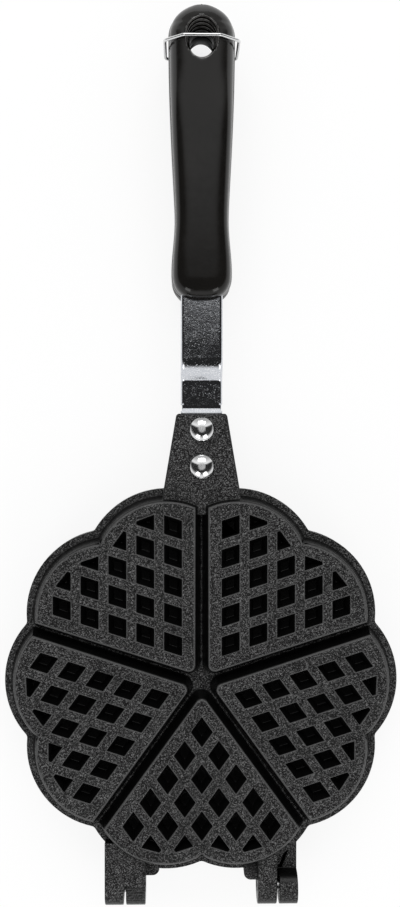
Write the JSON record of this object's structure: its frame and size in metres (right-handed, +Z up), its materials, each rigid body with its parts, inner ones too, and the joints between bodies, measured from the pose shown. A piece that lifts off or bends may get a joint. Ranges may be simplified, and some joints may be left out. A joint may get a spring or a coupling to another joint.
{
  "type": "stovetop waffle iron",
  "caption": "Double-sided cast stovetop waffle iron with heart moulds, hinged plates, long twin handle and a swinging wire latch.",
  "frame": {"origin": "centre of the closed iron's bounding box in plan, level with the underside of the lower grip", "axes": "+Y along the handle, from the hinge to the grips' tips; +Z up, square to the plates; +X to the right when the handle points away"},
  "size_m": [0.1712, 0.3903, 0.0367],
  "materials": {
    "cast_coating": "cast aluminium with a fine-grained black non-stick coating",
    "bracket_chrome": "pressed steel strip, polished chrome plate with fine scratches",
    "grip_phenolic": "glossy black moulded phenolic",
    "screw_steel": "zinc-plated steel",
    "pin_steel": "plain steel pin",
    "rivet_metal": "polished domed rivet",
    "wire_chrome": "chromed spring wire"
  },
  "bodies": {
    "lower": {"lower_plate": "cast_coating", "lower_bracket": "bracket_chrome", "lower_grip": "grip_phenolic", "lower_grip_screw": "screw_steel", "lower_hinge_pin": "pin_steel", "lower_front_rivet": "rivet_metal", "lower_rear_rivet": "rivet_metal"},
    "upper": {"upper_plate": "cast_coating", "upper_bracket": "bracket_chrome", "upper_grip": "grip_phenolic", "upper_grip_screw": "screw_steel", "upper_hinge_pin": "pin_steel", "upper_front_rivet": "rivet_metal", "upper_rear_rivet": "rivet_metal"},
    "latch": {"latch_wire": "wire_chrome"}
  },
  "joints": [
    {"name": "lid_hinge", "type": "hinge", "parent": "lower", "child": "upper", "pos_m": [0, -0.188, 0.0175], "axis": [1, 0, 0], "range_deg": [0, 180]},
    {"name": "latch_pivot", "type": "hinge", "parent": "lower", "child": "latch", "pos_m": [0, 0.178, 0.0086], "axis": [-1, 0, 0], "range_deg": [0, 240]}
  ]
}
